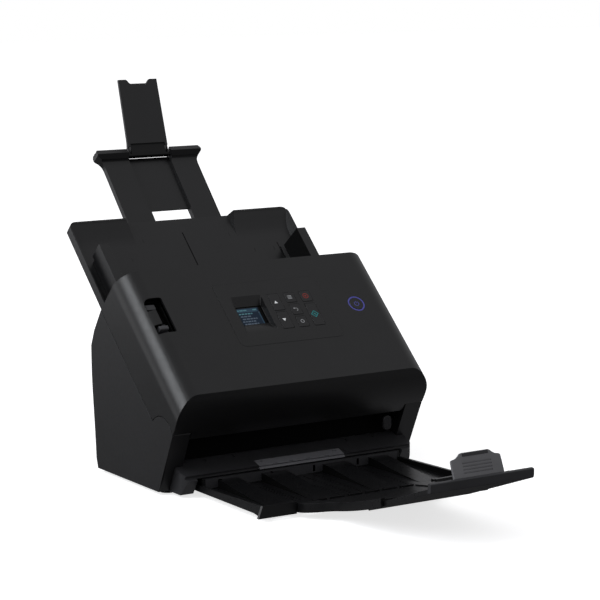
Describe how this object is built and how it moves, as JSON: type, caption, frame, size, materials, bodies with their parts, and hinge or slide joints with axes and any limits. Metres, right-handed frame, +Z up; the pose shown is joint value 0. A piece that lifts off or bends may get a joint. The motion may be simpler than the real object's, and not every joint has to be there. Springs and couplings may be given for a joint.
{
  "type": "sheet fed document scanner",
  "caption": "Black desktop sheet feed scanner with a sloping control panel, a feed tray with a raised extension at the back and an eject tray with a rising extension and a stopper at the front.",
  "frame": {"origin": "middle of the bounding box, on the table", "axes": "+X to the right seen from the front, +Y to the back, +Z up; the control panel and the eject tray face -Y"},
  "size_m": [0.291, 0.6112, 0.3776],
  "materials": {
    "body_black": "fine grain",
    "front_black": "satin",
    "tray_black": "fine grain",
    "grip_grey": "satin",
    "inner_black": "matt",
    "key_black": "satin",
    "display": "gloss",
    "ring_blue": "lit ring",
    "rubber": "matt",
    "roller_grey": "matt",
    "steel": "brushed",
    "glass": "clear",
    "board_green": "coated",
    "socket_metal": "plated"
  },
  "bodies": {
    "base": {"left_side_panel": "body_black", "right_side_panel": "body_black", "rear_cover": "body_black", "base_tub": "inner_black", "exit_ledge": "body_black", "ledge_grip": "grip_grey", "foot_front_left": "rubber", "foot_front_right": "rubber", "foot_rear_left": "rubber", "foot_rear_right": "rubber", "lower_paper_guide": "inner_black", "lower_scan_glass": "glass", "lower_image_sensor": "inner_black", "left_frame_plate": "steel", "right_frame_plate": "steel", "motor": "steel", "motor_belt": "rubber", "roller_belt": "rubber", "main_board": "board_green", "dc_inlet": "inner_black", "usb_socket": "socket_metal", "lan_socket": "socket_metal", "feed_tray": "tray_black", "tray_back_housing": "body_black"},
    "feed_roller": {"feed_roller": "roller_grey"},
    "drive_roller": {"drive_roller": "roller_grey"},
    "eject_roller": {"eject_roller": "roller_grey"},
    "motor_shaft": {"motor_shaft": "steel"},
    "front_unit": {"front_cover": "front_black", "control_bezel": "front_black", "display": "display", "panel_board": "board_green", "power_ring": "ring_blue", "lever_pocket": "inner_black", "inner_paper_guide": "inner_black", "upper_scan_glass": "glass", "upper_image_sensor": "inner_black"},
    "open_lever": {"open_lever": "grip_grey"},
    "separation_roller": {"separation_roller": "roller_grey"},
    "pinch_roller": {"pinch_roller": "roller_grey"},
    "upper_eject_roller": {"upper_eject_roller": "roller_grey"},
    "left_guide": {"left_guide": "tray_black"},
    "right_guide": {"right_guide": "tray_black"},
    "guide_pinion": {"guide_pinion": "inner_black"},
    "tray_extension": {"tray_extension": "tray_black", "flap_pin": "steel"},
    "extension_flap": {"extension_flap": "tray_black"},
    "eject_tray": {"eject_tray": "tray_black"},
    "eject_extension": {"eject_extension": "tray_black"},
    "eject_end_plate": {"eject_end_plate": "tray_black"},
    "eject_stopper": {"eject_stopper": "grip_grey"},
    "key_up": {"key_up": "key_black"},
    "key_down": {"key_down": "key_black"},
    "key_menu": {"key_menu": "key_black"},
    "key_back": {"key_back": "key_black"},
    "key_ok": {"key_ok": "key_black"},
    "key_stop": {"key_stop": "key_black"},
    "key_start": {"key_start": "key_black"},
    "power_button": {"power_button": "key_black"}
  },
  "joints": [
    {"name": "front_unit_hinge", "type": "hinge", "parent": "base", "child": "front_unit", "pos_m": [0, 0.004, 0.055], "axis": [-1, 0, 0], "range_deg": [-60, 0]},
    {"name": "key_up_press", "type": "slide", "parent": "front_unit", "child": "key_up", "axis": [0, 0.6794, -0.7337], "range_m": [0, 0.0008], "stiffness_N_per_m": 600},
    {"name": "key_down_press", "type": "slide", "parent": "front_unit", "child": "key_down", "axis": [0, 0.6794, -0.7337], "range_m": [0, 0.0008], "stiffness_N_per_m": 600},
    {"name": "key_menu_press", "type": "slide", "parent": "front_unit", "child": "key_menu", "axis": [0, 0.6794, -0.7337], "range_m": [0, 0.0008], "stiffness_N_per_m": 600},
    {"name": "key_back_press", "type": "slide", "parent": "front_unit", "child": "key_back", "axis": [0, 0.6794, -0.7337], "range_m": [0, 0.0008], "stiffness_N_per_m": 600},
    {"name": "key_ok_press", "type": "slide", "parent": "front_unit", "child": "key_ok", "axis": [0, 0.6794, -0.7337], "range_m": [0, 0.0008], "stiffness_N_per_m": 600},
    {"name": "key_stop_press", "type": "slide", "parent": "front_unit", "child": "key_stop", "axis": [0, 0.6794, -0.7337], "range_m": [0, 0.0008], "stiffness_N_per_m": 600},
    {"name": "key_start_press", "type": "slide", "parent": "front_unit", "child": "key_start", "axis": [0, 0.6794, -0.7337], "range_m": [0, 0.0008], "stiffness_N_per_m": 600},
    {"name": "power_button_press", "type": "slide", "parent": "front_unit", "child": "power_button", "axis": [0, 0.6794, -0.7337], "range_m": [0, 0.001], "stiffness_N_per_m": 600},
    {"name": "open_lever_slide", "type": "slide", "parent": "front_unit", "child": "open_lever", "axis": [0, -0.7337, -0.6794], "range_m": [0, 0.0044], "stiffness_N_per_m": 60},
    {"name": "feed_roller_spin", "type": "hinge", "parent": "base", "child": "feed_roller", "pos_m": [0, 0.09064, 0.11312], "axis": [1, 0, 0], "continuous": true},
    {"name": "drive_roller_spin", "type": "hinge", "parent": "base", "child": "drive_roller", "pos_m": [0, 0.06754, 0.10127], "axis": [1, 0, 0], "continuous": true},
    {"name": "eject_roller_spin", "type": "hinge", "parent": "base", "child": "eject_roller", "pos_m": [0, 0.02645, 0.06322], "axis": [1, 0, 0], "continuous": true},
    {"name": "motor_shaft_spin", "type": "hinge", "parent": "base", "child": "motor_shaft", "pos_m": [-0.13, 0.07, 0.045], "axis": [1, 0, 0], "continuous": true},
    {"name": "separation_roller_spin", "type": "hinge", "parent": "front_unit", "child": "separation_roller", "pos_m": [0, 0.07101, 0.13432], "axis": [1, 0, 0], "continuous": true},
    {"name": "pinch_roller_spin", "type": "hinge", "parent": "front_unit", "child": "pinch_roller", "pos_m": [0, 0.05701, 0.11264], "axis": [1, 0, 0], "continuous": true},
    {"name": "upper_eject_roller_spin", "type": "hinge", "parent": "front_unit", "child": "upper_eject_roller", "pos_m": [0, 0.01592, 0.07459], "axis": [1, 0, 0], "continuous": true},
    {"name": "left_guide_slide", "type": "slide", "parent": "base", "child": "left_guide", "axis": [1, 0, 0], "range_m": [0, 0.07]},
    {"name": "right_guide_slide", "type": "slide", "parent": "base", "child": "right_guide", "axis": [-1, 0, 0], "range_m": [0, 0.07]},
    {"name": "guide_pinion_spin", "type": "hinge", "parent": "base", "child": "guide_pinion", "pos_m": [0, 0.16316, 0.17272], "axis": [0, 0.6947, -0.7193], "range_deg": [0, 720]},
    {"name": "tray_extension_slide", "type": "slide", "parent": "base", "child": "tray_extension", "axis": [0, -0.6691, -0.7431], "range_m": [0, 0.07]},
    {"name": "extension_flap_hinge", "type": "hinge", "parent": "tray_extension", "child": "extension_flap", "pos_m": [0, 0.28224, 0.29815], "axis": [1, 0, 0], "range_deg": [0, 155]},
    {"name": "eject_tray_slide", "type": "slide", "parent": "base", "child": "eject_tray", "axis": [0, 1, 0], "range_m": [0, 0.104]},
    {"name": "eject_extension_hinge", "type": "hinge", "parent": "eject_tray", "child": "eject_extension", "pos_m": [0, -0.1276, 0.0086], "axis": [1, 0, 0], "range_deg": [-75, 0]},
    {"name": "eject_end_plate_slide", "type": "slide", "parent": "eject_extension", "child": "eject_end_plate", "axis": [0, 0.9379, -0.3469], "range_m": [0, 0.04]},
    {"name": "eject_stopper_hinge", "type": "hinge", "parent": "eject_end_plate", "child": "eject_stopper", "pos_m": [0, -0.2998, 0.0609], "axis": [-1, 0, 0], "range_deg": [0, 85]}
  ],
  "couplings": [
    {"joint": "drive_roller_spin", "follows": "feed_roller_spin", "ratio": 1.8605},
    {"joint": "eject_roller_spin", "follows": "feed_roller_spin", "ratio": 1.8605},
    {"joint": "motor_shaft_spin", "follows": "feed_roller_spin", "ratio": 2},
    {"joint": "separation_roller_spin", "follows": "feed_roller_spin", "ratio": -1.25},
    {"joint": "pinch_roller_spin", "follows": "feed_roller_spin", "ratio": -2.4806},
    {"joint": "upper_eject_roller_spin", "follows": "feed_roller_spin", "ratio": -2.4806},
    {"joint": "right_guide_slide", "follows": "left_guide_slide", "ratio": 1},
    {"joint": "guide_pinion_spin", "follows": "left_guide_slide", "rad_per_m": 172.4}
  ]
}
